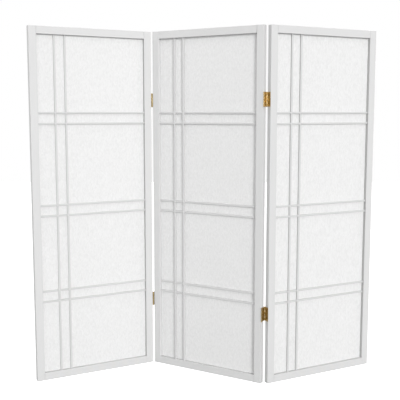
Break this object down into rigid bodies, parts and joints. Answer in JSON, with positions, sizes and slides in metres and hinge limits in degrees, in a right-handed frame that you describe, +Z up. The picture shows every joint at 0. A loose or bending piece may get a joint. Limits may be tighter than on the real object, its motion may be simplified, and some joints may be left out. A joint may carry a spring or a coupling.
{
  "type": "folding partition screen",
  "caption": "Folding partition screen of white painted wooden frames with lattice bars over translucent paper, joined by two-way brass hinges and standing in a zigzag.",
  "frame": {"origin": "middle of the middle panel's underside, on the floor", "axes": "+Z up; +Y towards the back, away from a viewer in front; +X to the viewer's right"},
  "size_m": [1.1751, 0.2432, 1.194],
  "materials": {
    "frame_paint": "satin",
    "lattice_paint": "satin",
    "paper": "matte",
    "brass": "satin",
    "pin_brass": "satin"
  },
  "bodies": {
    "middle_panel": {"middle_panel_left_stile": "frame_paint", "middle_panel_right_stile": "frame_paint", "middle_panel_bottom_rail": "frame_paint", "middle_panel_top_rail": "frame_paint", "middle_panel_left_upright": "lattice_paint", "middle_panel_right_upright": "lattice_paint", "middle_panel_crossbar_1": "lattice_paint", "middle_panel_crossbar_2": "lattice_paint", "middle_panel_crossbar_3": "lattice_paint", "middle_panel_crossbar_4": "lattice_paint", "middle_panel_crossbar_5": "lattice_paint", "middle_panel_crossbar_6": "lattice_paint", "middle_panel_paper": "paper", "lower_left_hinge_back_leaf": "brass", "upper_left_hinge_back_leaf": "brass", "lower_right_hinge_front_leaf": "brass", "upper_right_hinge_front_leaf": "brass"},
    "left_links": {"lower_left_hinge_link": "brass", "lower_left_hinge_front_pin": "pin_brass", "lower_left_hinge_back_pin": "pin_brass", "upper_left_hinge_link": "brass", "upper_left_hinge_front_pin": "pin_brass", "upper_left_hinge_back_pin": "pin_brass"},
    "left_panel": {"left_panel_left_stile": "frame_paint", "left_panel_right_stile": "frame_paint", "left_panel_bottom_rail": "frame_paint", "left_panel_top_rail": "frame_paint", "left_panel_left_upright": "lattice_paint", "left_panel_right_upright": "lattice_paint", "left_panel_crossbar_1": "lattice_paint", "left_panel_crossbar_2": "lattice_paint", "left_panel_crossbar_3": "lattice_paint", "left_panel_crossbar_4": "lattice_paint", "left_panel_crossbar_5": "lattice_paint", "left_panel_crossbar_6": "lattice_paint", "left_panel_paper": "paper", "lower_left_hinge_front_leaf": "brass", "upper_left_hinge_front_leaf": "brass"},
    "right_links": {"lower_right_hinge_link": "brass", "lower_right_hinge_front_pin": "pin_brass", "lower_right_hinge_back_pin": "pin_brass", "upper_right_hinge_link": "brass", "upper_right_hinge_front_pin": "pin_brass", "upper_right_hinge_back_pin": "pin_brass"},
    "right_panel": {"right_panel_left_stile": "frame_paint", "right_panel_right_stile": "frame_paint", "right_panel_bottom_rail": "frame_paint", "right_panel_top_rail": "frame_paint", "right_panel_left_upright": "lattice_paint", "right_panel_right_upright": "lattice_paint", "right_panel_crossbar_1": "lattice_paint", "right_panel_crossbar_2": "lattice_paint", "right_panel_crossbar_3": "lattice_paint", "right_panel_crossbar_4": "lattice_paint", "right_panel_crossbar_5": "lattice_paint", "right_panel_crossbar_6": "lattice_paint", "right_panel_paper": "paper", "lower_right_hinge_back_leaf": "brass", "upper_right_hinge_back_leaf": "brass"}
  },
  "joints": [
    {"name": "left_back_fold", "type": "hinge", "parent": "middle_panel", "child": "left_links", "pos_m": [-0.18256, 0.11974, 0], "axis": [0, 0, -1], "range_deg": [0, 90]},
    {"name": "left_front_fold", "type": "hinge", "parent": "left_links", "child": "left_panel", "pos_m": [-0.19371, 0.10072, 0], "axis": [0, 0, 1], "range_deg": [-58.07, 121.93]},
    {"name": "right_front_fold", "type": "hinge", "parent": "middle_panel", "child": "right_links", "pos_m": [0.18256, -0.11974, 0], "axis": [0, 0, -1], "range_deg": [0, 90]},
    {"name": "right_back_fold", "type": "hinge", "parent": "right_links", "child": "right_panel", "pos_m": [0.19371, -0.10072, 0], "axis": [0, 0, 1], "range_deg": [-57.78, 122.22]}
  ]
}
